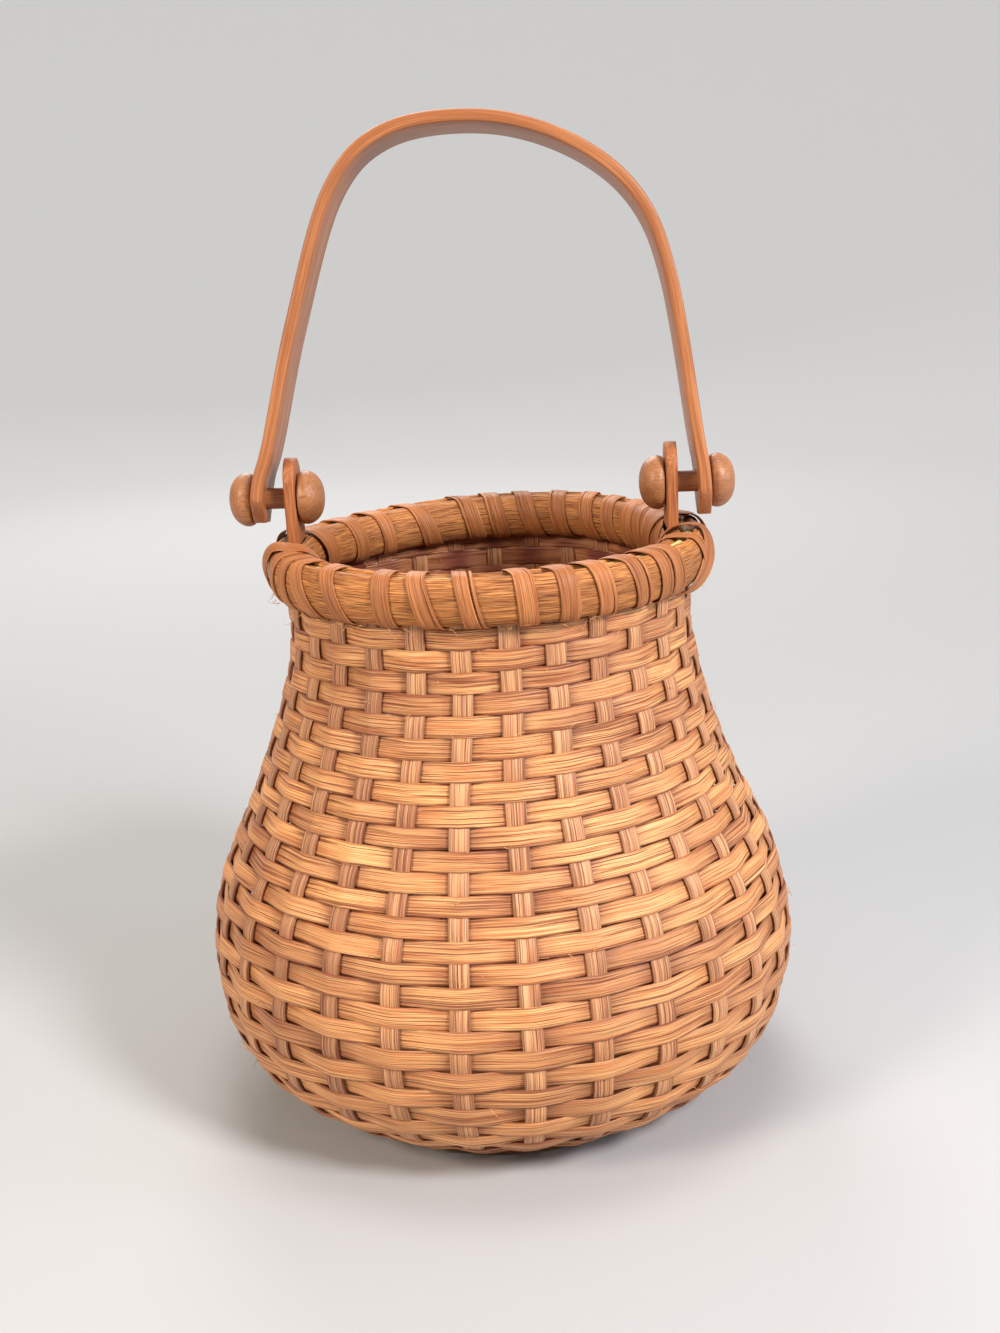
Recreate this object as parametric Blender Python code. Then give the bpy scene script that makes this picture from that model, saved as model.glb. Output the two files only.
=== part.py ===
"""A round woven reed basket with a swing handle.

Twenty-nine flat reed stakes rise from a groove in a turned base, and one flat reed spirals up
through them, over one and under one. Two half-round hoops clamp the top of the wall, a filler
closes the slot between them, and flat reed is lashed round all three. Two ears stand up inside
the rim, and the bent handle swings on a pin with turned knobs through each ear.

Metres, +Z up. The origin is the middle of the underside of the base. The pins lie along X.
"""

import math

import bmesh
import bpy
import numpy as np

mm = 0.001

# Clearances
gap = 0.3 * mm
pin_clearance = 0.3 * mm
side_play = 0.5 * mm
cut_overrun = 2.0 * mm
weld_distance = 0.001 * mm

# Turned base
base_radius = 64.0 * mm
base_thickness = 5.6 * mm
base_edge_round = 1.0 * mm
groove_depth = 3.5 * mm
dish_depth = 1.0 * mm
base_border = 12.0 * mm

# Shape of the wall, followed by the middle of its thickness. Its lower points lie between the
# base's radius and the belly's, its upper ones between the rim's and the belly's.
belly_radius = 95.5 * mm
rim_radius = 63.4 * mm
rim_height = 177.1 * mm
neck_height = 20.0 * mm
foot_run = 3.4 * mm
foot_rise = 1.0 * mm
lower_radius_shares = (0.318, 0.585, 0.818, 0.964, 1.0)
lower_height_shares = (0.050, 0.083, 0.135, 0.212, 0.305)
upper_radius_shares = (0.860, 0.503, 0.200, 0.045)
upper_height_shares = (0.434, 0.575, 0.719, 0.826)
samples_per_span = 40

# Stakes
stake_count = 29
stake_width = 6.0 * mm
stake_thickness = 1.4 * mm
stake_chord_error = 0.22 * mm
first_stake_turn = math.radians(-95.8)

# Woven reed, and the stake beyond the first one that its spiral starts at
weave_start = 14
weaver_width = 6.05 * mm
weaver_thickness = 1.2 * mm
weaver_tip_width = 1.5 * mm
row_gap = 0.35 * mm
first_row_space = 0.8 * mm
weaver_lengths = 8
splice_gap = 0.5 * mm

# Hoops, filler and lashing of the rim
hoop_height = 14.2 * mm
outer_hoop_thickness = 5.4 * mm
inner_hoop_thickness = 6.8 * mm
hoop_corner = 1.6 * mm
hoop_arc_steps = 5
hoop_segments = 58
filler_thickness = 1.4 * mm
filler_sink = 0.55 * mm
lashing_width = 5.6 * mm
lashing_thickness = 1.2 * mm
lashing_gap = 0.45 * mm
lashing_space = 0.5 * mm
points_per_loop = 16
lashing_curve_share = 0.667

# Ears
ear_width = 16.0 * mm
ear_thickness = 3.6 * mm
ear_above_pin = 12.7 * mm
ear_arc_steps = 12
ear_edge_bevel = 0.4 * mm

# Pins and knobs
pin_above_rim = 20.9 * mm
pin_diameter = 6.6 * mm
pin_sides = 20
knob_diameter = 17.0 * mm
knob_length = 7.6 * mm
knob_socket_depth = 5.0 * mm
knob_segments = 16
knob_radius_shares = (0.36, 0.66, 0.86, 0.97, 1.0, 0.99, 0.95)
knob_length_shares = (0.99, 0.93, 0.78, 0.52, 0.24, 0.06, 0.0)

# Handle. It is bent by hand, so that its two halves differ.
ear_to_handle = 6.42 * mm
handle_width = 22.0 * mm
handle_thickness = 3.8 * mm
handle_edge_bevel = 0.8 * mm
handle_rise = 112.0 * mm
handle_foot = 8.5 * mm
handle_tip_width = 9.0 * mm
handle_tip_taper = 7.5 * mm
handle_straight = 7.0 * mm
handle_lean = math.radians(6.9)
handle_top_share = 0.074
right_half_span_shares = (0.976, 0.870, 0.727, 0.449)
right_rise_shares = (0.131, 0.567, 0.787, 0.929)
left_half_span_shares = (0.927, 0.795, 0.598, 0.343)
left_rise_shares = (0.157, 0.475, 0.827, 0.975)
handle_steps_per_span = 3

# Colours of the materials, each with its roughness
reed_colour = (0.52, 0.30, 0.13)
stake_colour = (0.46, 0.26, 0.11)
hoop_colour = (0.42, 0.22, 0.10)
filler_colour = (0.60, 0.50, 0.28)
handle_colour = (0.48, 0.20, 0.08)
knob_colour = (0.55, 0.28, 0.13)
base_colour = (0.40, 0.20, 0.09)
reed_roughness = 0.7
wood_roughness = 0.4
smooth_angle = math.radians(35.0)


def clear_scene():
    for old in list(bpy.data.objects):
        bpy.data.objects.remove(old)


def finish_of(name, colour, roughness):
    """A material of its own for one piece."""
    made = bpy.data.materials.new(name)
    made.use_nodes = True
    shader = made.node_tree.nodes["Principled BSDF"]
    shader.inputs["Base Color"].default_value = (*colour, 1.0)
    shader.inputs["Roughness"].default_value = roughness
    shader.inputs["Metallic"].default_value = 0.0
    return made


def add_object(name, work, colour, roughness=reed_roughness):
    """The mesh under construction as a named object with its own material."""
    bmesh.ops.recalc_face_normals(work, faces=work.faces[:])
    mesh = bpy.data.meshes.new(name)
    work.to_mesh(mesh)
    work.free()
    mesh.materials.append(finish_of(name, colour, roughness))
    mesh.shade_smooth()
    mesh.set_sharp_from_angle(angle=smooth_angle)
    made = bpy.data.objects.new(name, mesh)
    bpy.context.collection.objects.link(made)
    return made


def add_loft(name, rings, colour, roughness=reed_roughness):
    """A solid through rings of points with the same number of corners, closed at both ends."""
    work = bmesh.new()
    loops = [[work.verts.new(point) for point in ring] for ring in rings]
    for first, second in zip(loops, loops[1:]):
        for corner in range(len(first)):
            after = (corner + 1) % len(first)
            work.faces.new((first[corner], first[after], second[after], second[corner]))
    work.faces.new(loops[0][::-1])
    work.faces.new(loops[-1])
    return add_object(name, work, colour, roughness)


def add_turned(name, profile, segments, colour, roughness=reed_roughness, closed=False):
    """(radius, height) points spun about Z. An open profile starts and ends on the axis."""
    work = bmesh.new()
    verts = [work.verts.new((radius, 0.0, height)) for radius, height in profile]
    edges = [work.edges.new(pair) for pair in zip(verts, verts[1:])]
    if closed:
        edges.append(work.edges.new((verts[-1], verts[0])))
    bmesh.ops.spin(
        work,
        geom=verts + edges,
        axis=(0.0, 0.0, 1.0),
        cent=(0.0, 0.0, 0.0),
        angle=math.tau,
        steps=segments,
        use_merge=True,
    )
    bmesh.ops.remove_doubles(work, verts=work.verts[:], dist=weld_distance)
    return add_object(name, work, colour, roughness)


def add_rod(name, radius, low, high, colour):
    """A round rod along X from low to high, at the height of the pins."""
    work = bmesh.new()
    bmesh.ops.create_cone(
        work,
        cap_ends=True,
        segments=pin_sides,
        radius1=radius,
        radius2=radius,
        depth=high - low,
    )
    made = add_object(name, work, colour, wood_roughness)
    made.rotation_euler.y = math.pi / 2
    made.location = ((low + high) / 2, 0.0, pin_height)
    return made


def cut(target, cutter):
    """Takes the cutter out of the target, and keeps it as a guide that isn't a piece."""
    cutter.hide_render = True
    cutter.display_type = "WIRE"
    boolean = target.modifiers.new(cutter.name, "BOOLEAN")
    boolean.operation = "DIFFERENCE"
    boolean.solver = "EXACT"
    boolean.object = cutter


def smooth_curve(points, steps):
    """A Catmull-Rom curve through the points, with this many steps to a span."""
    points = [np.array(point) for point in points]
    before = 2 * points[0] - points[1]
    after = 2 * points[-1] - points[-2]
    knots = [before, *points, after]
    made = []
    for a, b, c, d in zip(knots, knots[1:], knots[2:], knots[3:]):
        for step in range(steps):
            t = step / steps
            square = (2 * a - 5 * b + 4 * c - d) * t**2
            cube = (3 * b - a - 3 * c + d) * t**3
            made.append(b + ((c - a) * t + square + cube) / 2)
    made.append(points[-1])
    return np.array(made)


def unit(vectors):
    return vectors / np.linalg.norm(vectors, axis=-1, keepdims=True)


def in_space(flat, turn):
    """A (radius, height) pair, put in the upright plane at this turn about the basket's axis."""
    return np.array([flat[0] * math.cos(turn), flat[0] * math.sin(turn), flat[1]])


# Sizes that follow from the ones above

groove_radius = base_radius - groove_depth
groove_height = stake_thickness + 2 * gap
foot_radius = groove_radius + gap
foot_height = base_thickness / 2
bay_turn = math.tau / stake_count
float_clearance = gap + stake_chord_error / 2
over_stake = stake_thickness / 2 + float_clearance + weaver_thickness / 2
row_pitch = weaver_width + row_gap
pin_height = rim_height + pin_above_rim
hoop_top = rim_height + hoop_height / 2
hoop_bottom = rim_height - hoop_height / 2
half_slot = stake_thickness / 2 + gap
filler_height = hoop_top - filler_sink
wall_top = filler_height - filler_thickness / 2 - gap
weave_top = hoop_bottom - lashing_gap - lashing_thickness - gap
outer_hoop_face = rim_radius + half_slot
inner_hoop_face = rim_radius - half_slot
rim_outside = outer_hoop_face + outer_hoop_thickness
rim_inside = inner_hoop_face - inner_hoop_thickness
ear_outside = math.sqrt((inner_hoop_face - gap) ** 2 - (ear_width / 2) ** 2)
ear_inside = ear_outside - ear_thickness
filler_half_width = rim_radius - inner_hoop_face
handle_span = 2 * (ear_outside + ear_to_handle) + handle_thickness
inner_knob_face = ear_inside - side_play
outer_knob_face = handle_span / 2 + handle_thickness / 2 + side_play
pin_reach = knob_socket_depth - gap


def wall_outline():
    points = [(foot_radius, foot_height), (base_radius, foot_height)]
    points.append((base_radius + foot_run, foot_height + foot_rise))
    for share, height_share in zip(lower_radius_shares, lower_height_shares):
        radius = base_radius + share * (belly_radius - base_radius)
        points.append((radius, height_share * rim_height))
    for share, height_share in zip(upper_radius_shares, upper_height_shares):
        radius = rim_radius + share * (belly_radius - rim_radius)
        points.append((radius, height_share * rim_height))
    points.append((rim_radius, rim_height - neck_height))
    points.append((rim_radius, rim_height))
    points.append((rim_radius, wall_top))
    return smooth_curve(points, samples_per_span)


outline = wall_outline()
outline_steps = np.linalg.norm(np.diff(outline, axis=0), axis=1)
outline_arc = np.concatenate([[0.0], np.cumsum(outline_steps)])
outline_slope = np.gradient(outline, outline_arc, axis=0)
wall_length = outline_arc[-1]


def on_wall(arc):
    """(radius, height) at this arc length, with the unit ways up the wall and out of it."""
    place = np.array([np.interp(arc, outline_arc, outline[:, i]) for i in range(2)])
    up = unit(np.array([np.interp(arc, outline_arc, outline_slope[:, i]) for i in range(2)]))
    return place, up, np.array([up[1], -up[0]])


def stake_turn(index):
    return first_stake_turn + index * bay_turn


def stake_stations():
    """Arc lengths along a stake whose chords stay within the allowed error of the outline."""
    stations = [0.0]
    last = 0
    for i in range(1, len(outline_arc)):
        chord = unit(outline[i] - outline[last])
        between = outline[last : i + 1] - outline[last]
        off = np.abs(between[:, 0] * chord[1] - between[:, 1] * chord[0])
        if off.max() > stake_chord_error:
            last = i - 1
            stations.append(outline_arc[last])
    return [*stations, wall_length]


def add_stakes():
    """Reed strips, lens shaped across, that follow the wall from the groove to the filler."""
    stations = stake_stations()
    for index in range(stake_count):
        turn = stake_turn(index)
        side = np.array([-math.sin(turn), math.cos(turn), 0.0]) * stake_width / 2
        rings = []
        for arc in stations:
            place, _, out = on_wall(arc)
            centre = in_space(place, turn)
            front = in_space(out, turn) * stake_thickness / 2
            rings.append((centre + side, centre + front, centre - side, centre - front))
        add_loft(f"stake_{index + 1:02d}", rings, stake_colour)


# The spiral's first and last turns are trimmed to a taper, so that the weave ends level.
lowest_edge = groove_depth + first_row_space
highest_edge = wall_length - (wall_top - weave_top)
first_row = lowest_edge + weaver_tip_width - weaver_width / 2
last_row = highest_edge - weaver_tip_width + weaver_width / 2
pairs_of_crossings = int((last_row - first_row) / row_pitch * stake_count / 2)


def strip_corners(centre, side, out, width, thickness):
    half_side = side * width / 2
    half_out = out * thickness / 2
    return (
        centre + half_side + half_out,
        centre + half_side - half_out,
        centre - half_side - half_out,
        centre - half_side + half_out,
    )


def float_offset(radius, side):
    """How far a strip lies off the wall's middle at a stake, clear of its middle and its edges."""
    slope = 2 * over_stake / (radius * bay_turn) + side * bay_turn / 2
    over_edge = slope * stake_width / 2 + float_clearance + weaver_thickness / 2
    return max(over_stake, over_edge)


def weaver_ring(crossing, shift=0.0):
    """The strip where it passes a stake, outside on odd crossings and inside on even ones."""
    side = 1.0 if crossing % 2 else -1.0
    row = first_row + row_pitch * crossing / stake_count
    low = max(row - weaver_width / 2, lowest_edge)
    high = min(row + weaver_width / 2, highest_edge)
    bottom, middle, top = [on_wall(arc)[0] for arc in (low, (low + high) / 2, high)]
    up = unit(top - bottom)
    out = np.array([up[1], -up[0]])
    centre = (bottom + top) / 2
    bulge = max(0.0, side * np.dot(middle - centre, out))
    turn = stake_turn(weave_start + crossing) + shift / centre[0]
    centre = centre + out * side * (float_offset(centre[0], side) + bulge)
    corners = strip_corners(centre, up, out, high - low, weaver_thickness)
    return [in_space(corner, turn) for corner in corners]


def add_weavers():
    """The spiral in spliced lengths, each ending inside a stake, where a weaver hides its end."""
    for index in range(weaver_lengths):
        first = 2 * (pairs_of_crossings * index // weaver_lengths)
        last = 2 * (pairs_of_crossings * (index + 1) // weaver_lengths)
        rings = [weaver_ring(first, splice_gap / 2)]
        rings += [weaver_ring(crossing) for crossing in range(first + 1, last)]
        rings.append(weaver_ring(last, -splice_gap / 2))
        add_loft(f"weaver_{index + 1}", rings, reed_colour)


def add_base():
    """A turned disc with the groove that holds the feet of the stakes in its edge."""
    half_groove = groove_height / 2
    border_radius = base_radius - base_border
    profile = [
        (0.0, base_thickness - dish_depth),
        (border_radius - dish_depth, base_thickness - dish_depth),
        (border_radius, base_thickness),
        (base_radius - base_edge_round, base_thickness),
        (base_radius, base_thickness - base_edge_round),
        (base_radius, foot_height + half_groove),
        (groove_radius, foot_height + half_groove),
        (groove_radius, foot_height - half_groove),
        (base_radius, foot_height - half_groove),
        (base_radius, base_edge_round),
        (base_radius - base_edge_round, 0.0),
        (0.0, 0.0),
    ]
    add_turned("base_disc", profile, hoop_segments, base_colour, wood_roughness)


def hoop_profile(face, thickness, way):
    """Half an oval on the hoop's flat face. The way is 1 for outward and -1 for inward."""
    half_height = hoop_height / 2
    profile = [(face, rim_height - half_height + hoop_corner)]
    for step in range(hoop_arc_steps + 1):
        angle = math.pi * (step / hoop_arc_steps - 1 / 2)
        reach = hoop_corner + (thickness - hoop_corner) * math.cos(angle)
        profile.append((face + way * reach, rim_height + half_height * math.sin(angle)))
    profile.append((face, rim_height + half_height - hoop_corner))
    return profile


def add_hoops():
    """The two hoops. The inner one is notched where each ear passes it."""
    outer = hoop_profile(outer_hoop_face, outer_hoop_thickness, 1)
    inner = hoop_profile(inner_hoop_face, inner_hoop_thickness, -1)
    add_turned("outer_hoop", outer, hoop_segments, hoop_colour, closed=True)
    hoop = add_turned("inner_hoop", inner, hoop_segments, hoop_colour, closed=True)
    notch_depth = inner_hoop_face - ear_inside + gap
    size = (notch_depth + cut_overrun, ear_width + 2 * gap, hoop_height + 2 * cut_overrun)
    for side, word in ((-1, "left"), (1, "right")):
        work = bmesh.new()
        bmesh.ops.create_cube(work, size=1.0)
        bmesh.ops.scale(work, vec=size, verts=work.verts[:])
        notch = add_object(f"{word}_ear_notch", work, hoop_colour)
        notch.location = (side * (ear_inside - gap + size[0] / 2), 0.0, rim_height)
        cut(hoop, notch)


def add_filler():
    """A flat reed in the groove between the hoops, on top of the stakes."""
    half_thick = filler_thickness / 2
    flat = filler_half_width / 2
    profile = [
        (rim_radius + filler_half_width, filler_height),
        (rim_radius + flat, filler_height + half_thick),
        (rim_radius - flat, filler_height + half_thick),
        (rim_radius - filler_half_width, filler_height),
        (rim_radius - flat, filler_height - half_thick),
        (rim_radius + flat, filler_height - half_thick),
    ]
    add_turned("rim_filler", profile, hoop_segments, filler_colour, closed=True)


def lashing_path(first_bay, last_bay):
    """Points of a spiral round the hoops, and the way out of the rim at each of them.

    It runs from the last bay back to the first, passes below the hoops in the middle of each bay
    between two stakes, and starts and ends a quarter of a loop beyond them.
    """
    clear = lashing_gap + lashing_thickness / 2
    half_width = (rim_outside - rim_inside) / 2 + clear
    half_height = hoop_height / 2 + clear
    middle = (rim_outside + rim_inside) / 2
    centres = []
    outs = []
    quarter = points_per_loop // 4
    for step in range(-quarter, (last_bay - first_bay) * points_per_loop + quarter):
        loops = (step + 1 / 2) / points_per_loop
        turn = stake_turn(last_bay + 1 / 2 - loops)
        angle = math.tau * loops - math.pi / 2
        level = math.copysign(abs(math.cos(angle)) ** lashing_curve_share, math.cos(angle))
        rise = math.copysign(abs(math.sin(angle)) ** lashing_curve_share, math.sin(angle))
        flat = (middle + half_width * level, rim_height + half_height * rise)
        centres.append(in_space(flat, turn))
        outs.append(in_space((level / half_width, rise / half_height), turn))
    return np.array(centres), np.array(outs)


def least_gap(centres):
    """The least room between neighbouring loops of a lashing, from edge to edge."""
    least = math.inf
    for first in range(len(centres) - points_per_loop + 1):
        later = centres[first + points_per_loop - 1 :]
        least = min(least, np.linalg.norm(later - centres[first], axis=1).min())
    return least - lashing_width


def add_lashing(name, first_turn, last_turn):
    """One strip of flat reed, wound round the rim from one ear to the other."""
    first_bay = math.ceil((first_turn - first_stake_turn) / bay_turn - 1 / 2)
    last_bay = math.floor((last_turn - first_stake_turn) / bay_turn - 1 / 2)
    centres, outs = lashing_path(first_bay, last_bay)
    along = unit(np.gradient(centres, axis=0))
    across = unit(np.cross(along, outs))
    outs = np.cross(across, along)
    rings = [
        strip_corners(centre, side, out, lashing_width, lashing_thickness)
        for centre, side, out in zip(centres, across, outs)
    ]
    print(f"{name}: least gap to itself {least_gap(centres) / mm:.2f} mm")
    add_loft(name, rings, hoop_colour)


def add_lashings():
    clear_turn = (ear_width / 2 + lashing_width / 2 + lashing_space) / ear_inside
    add_lashing("front_lashing", clear_turn - math.pi, -clear_turn)
    add_lashing("back_lashing", clear_turn, math.pi - clear_turn)


def add_ear(word, side):
    """A flat tongue with a round top, its tail let into the inner hoop against the stakes."""
    half_width = ear_width / 2
    centre = pin_height + ear_above_pin - half_width
    outline_points = [(-half_width, hoop_bottom), (half_width, hoop_bottom)]
    for step in range(ear_arc_steps + 1):
        angle = math.pi * step / ear_arc_steps
        point = (half_width * math.cos(angle), centre + half_width * math.sin(angle))
        outline_points.append(point)
    work = bmesh.new()
    start = side * ear_inside
    verts = [work.verts.new((start, y, z)) for y, z in outline_points]
    face = work.faces.new(verts)
    grown = bmesh.ops.extrude_face_region(work, geom=[face])["geom"]
    moved = [item for item in grown if isinstance(item, bmesh.types.BMVert)]
    bmesh.ops.translate(work, vec=(side * ear_thickness, 0.0, 0.0), verts=moved)
    ear = add_object(f"{word}_ear", work, hoop_colour, wood_roughness)
    bevel = ear.modifiers.new("eased edges", "BEVEL")
    bevel.width = ear_edge_bevel
    bevel.segments = 1
    ends = sorted((side * (ear_inside - cut_overrun), side * (ear_outside + cut_overrun)))
    cut(ear, add_rod(f"{word}_ear_bore", pin_diameter / 2 + pin_clearance, *ends, hoop_colour))


def add_knob(name, face, way, pivot):
    """A turned knob with its flat face at this place and its dome facing this way along X."""
    socket = pin_diameter / 2 + gap
    profile = [(0.0, knob_length)]
    for radius_share, length_share in zip(knob_radius_shares, knob_length_shares):
        profile.append((radius_share * knob_diameter / 2, length_share * knob_length))
    profile += [(socket, 0.0), (socket, knob_socket_depth), (0.0, knob_socket_depth)]
    knob = add_turned(name, profile, knob_segments, knob_colour, wood_roughness)
    knob.rotation_euler.y = way * math.pi / 2
    knob.location = (face, 0.0, 0.0)
    knob.parent = pivot


def add_pivot(name, turn=0.0):
    """An empty on the pins' common axis, turned about it."""
    pivot = bpy.data.objects.new(name, None)
    bpy.context.collection.objects.link(pivot)
    pivot.location = (0.0, 0.0, pin_height)
    pivot.rotation_euler.x = turn
    return pivot


def add_pin(word, side):
    """A dowel through the ear and the handle, with a knob glued on each end."""
    pivot = add_pivot(f"{word}_pin_axis")
    add_knob(f"{word}_inner_knob", side * inner_knob_face, -side, pivot)
    add_knob(f"{word}_outer_knob", side * outer_knob_face, side, pivot)
    ends = sorted((side * (inner_knob_face - pin_reach), side * (outer_knob_face + pin_reach)))
    pin = add_rod(f"{word}_pin", pin_diameter / 2, *ends, knob_colour)
    pin.parent = pivot
    pin.location.z = 0.0


def handle_line():
    """The middle of the bent strip, from the tip of one leg to the tip of the other."""
    half_span = handle_span / 2
    right = [(half_span, handle_straight)]
    for span_share, rise_share in zip(right_half_span_shares, right_rise_shares):
        right.append((span_share * half_span, rise_share * handle_rise))
    left = [(-half_span, handle_straight)]
    for span_share, rise_share in zip(left_half_span_shares, left_rise_shares):
        left.append((-span_share * half_span, rise_share * handle_rise))
    top = (handle_top_share * half_span, handle_rise)
    curve = smooth_curve([*right, top, *left[::-1]], handle_steps_per_span)
    taper_start = handle_tip_taper - handle_foot
    leg = [(half_span, -handle_foot), (half_span, taper_start)]
    other_leg = [(-x, z) for x, z in leg[::-1]]
    return np.array([*leg, *curve, *other_leg])


def add_handle():
    """A flat strip bent into an arch, its edges eased and the corners of its tips cut off."""
    line = handle_line()
    along = unit(np.gradient(line, axis=0))
    bevel = handle_edge_bevel
    rings = []
    for index, (point, way) in enumerate(zip(line, along)):
        tip = index in (0, len(line) - 1)
        half_width = (handle_tip_width if tip else handle_width) / 2
        half_thick = handle_thickness / 2
        flat = half_width - bevel
        thin = half_thick - bevel
        corners = [(flat, half_thick), (half_width, thin), (half_width, -thin), (flat, -half_thick)]
        corners += [(-y, across) for y, across in corners[::-1]]
        across_way = np.array([way[1], -way[0]])
        ring = []
        for y, across in corners:
            x, z = point + across_way * across
            ring.append((x, y, z))
        rings.append(ring)
    handle = add_loft("handle", rings, handle_colour, wood_roughness)
    handle.parent = add_pivot("handle_pivot", -handle_lean)
    reach = handle_span / 2 + handle_thickness
    bore_radius = pin_diameter / 2 + pin_clearance
    cut(handle, add_rod("handle_bore", bore_radius, -reach, reach, handle_colour))


clear_scene()
add_base()
add_stakes()
add_weavers()
add_hoops()
add_filler()
add_lashings()
for word, side in (("left", -1), ("right", 1)):
    add_ear(word, side)
    add_pin(word, side)
add_handle()
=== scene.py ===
"""Looks of the woven reed basket: every strip, hoop, lashing and wooden piece with its finish.

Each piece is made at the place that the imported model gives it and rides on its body. Lengths are
in metres, +Z is up, and the pins of the handle lie along X.
"""

import math

import bmesh
import bpy
import numpy as np
from mathutils import Matrix, Vector


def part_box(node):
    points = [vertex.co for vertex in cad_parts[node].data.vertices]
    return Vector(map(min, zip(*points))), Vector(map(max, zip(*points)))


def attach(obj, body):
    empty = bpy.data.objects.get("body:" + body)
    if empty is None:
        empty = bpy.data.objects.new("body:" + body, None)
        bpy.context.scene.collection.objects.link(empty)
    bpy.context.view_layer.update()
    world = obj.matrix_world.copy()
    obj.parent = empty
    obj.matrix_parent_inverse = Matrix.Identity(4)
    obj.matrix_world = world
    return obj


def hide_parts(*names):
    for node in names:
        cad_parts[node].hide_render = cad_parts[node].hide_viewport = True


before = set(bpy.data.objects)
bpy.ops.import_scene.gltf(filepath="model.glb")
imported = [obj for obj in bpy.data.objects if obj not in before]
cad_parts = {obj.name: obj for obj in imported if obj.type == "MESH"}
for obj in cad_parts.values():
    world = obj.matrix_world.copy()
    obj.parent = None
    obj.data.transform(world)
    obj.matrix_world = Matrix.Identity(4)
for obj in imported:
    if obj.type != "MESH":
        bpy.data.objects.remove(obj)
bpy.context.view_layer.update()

mm = 0.001

# Sizes of the weave, as the solids have them
stake_count = 29
bay_turn = math.tau / stake_count
first_stake_turn = math.radians(-95.8)
base_radius = 64.0 * mm
belly_radius = 95.5 * mm
middling_radius = 80 * mm
rim_radius = 63.4 * mm
rim_height = 177.1 * mm
foot_radius = 60.8 * mm
foot_height = 2.8 * mm
row_pitch = 6.4 * mm
reed_width = 6.05 * mm
tip_width = 1.5 * mm
lowest_edge = 4.3 * mm
first_woven_stake = 14
hoop_half_height = 7.1 * mm
hoop_bottom = rim_height - hoop_half_height
hoop_top = rim_height + hoop_half_height
wall_top = hoop_top - 1.55 * mm
weave_top = hoop_bottom - 0.4 * mm
outer_face, inner_face = rim_radius + 1.0 * mm, rim_radius - 1.0 * mm
outer_depth, inner_depth = 5.4 * mm, 6.8 * mm
hoop_corner = 1.6 * mm

# Sizes of the ears, the handle and the holes for the pins
pin_height = 198 * mm
half_span = 69.9 * mm
handle_rise = 112.0 * mm
handle_lean = math.radians(-6.9)
strip_half_width, strip_half_thickness = 11 * mm, 1.9 * mm
bore_radius = 3.6 * mm

# Depth of tone of plain wood, on the scale from pale (0) to deep (1)
plain_tone = 0.4

# Thicknesses of the reed, how far a strip stands off the wall's middle where it passes a stake, and
# how far the stake gives way to it
reed_thickness = 1.0 * mm
stake_thickness = 1.1 * mm
stake_width = 6.15 * mm
float_height = 1.12 * mm
stake_give = 0.36 * mm

# The neck and rim as made by hand: where the wall starts to lean and over what height, how far the
# rim stands to the right, and its rise in mm at turns in degrees from the right ear
neck_foot, neck_reach = 112 * mm, 40 * mm
rim_shift = 1.1 * mm
rise_turns = (0, 25, 62, 95, 120, 140, 160)
rim_rises = (0, 0, 2.0, 1.2, 0, -0.8, 0)


# Camera and studio

def add_camera():
    """The photograph's view: the lens, the height and the slight tilt of the hand that held it."""
    away, height, turned = 503 * mm, 279.2 * mm, math.radians(2.56)
    pitch, yaw, roll = math.radians(15.5), math.radians(0.37) - turned, math.radians(-2.8)
    level_reach = math.cos(pitch)
    ahead = Vector((math.sin(yaw) * level_reach, math.cos(yaw) * level_reach, -math.sin(pitch)))
    level = Vector((math.cos(yaw), -math.sin(yaw), 0))
    above = level.cross(ahead)
    right = math.cos(roll) * level + math.sin(roll) * above
    up = math.cos(roll) * above - math.sin(roll) * level
    data = bpy.data.cameras.new("viewpoint")
    focal_length, picture_height, film = 1600, 1333, 36
    data.sensor_width = film
    data.lens = focal_length / picture_height * film
    data.clip_start = 0.01
    camera = bpy.data.objects.new("viewpoint", data)
    place = Matrix.Translation((away * math.sin(turned), -away * math.cos(turned), height))
    camera.matrix_world = place @ Matrix((right, up, -ahead)).transposed().to_4x4()
    bpy.context.collection.objects.link(camera)
    bpy.context.scene.camera = camera


def add_lamp(name, place, aim, size, power, colour):
    """A round soft lamp at a place, aimed at another."""
    data = bpy.data.lights.new(name, "AREA")
    data.shape = "DISK"
    data.size = size
    data.energy = power
    data.color = colour
    lamp = bpy.data.objects.new(name, data)
    lamp.location = place
    lamp.rotation_euler = (Vector(aim) - Vector(place)).to_track_quat("-Z", "Y").to_euler()
    bpy.context.collection.objects.link(lamp)


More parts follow.
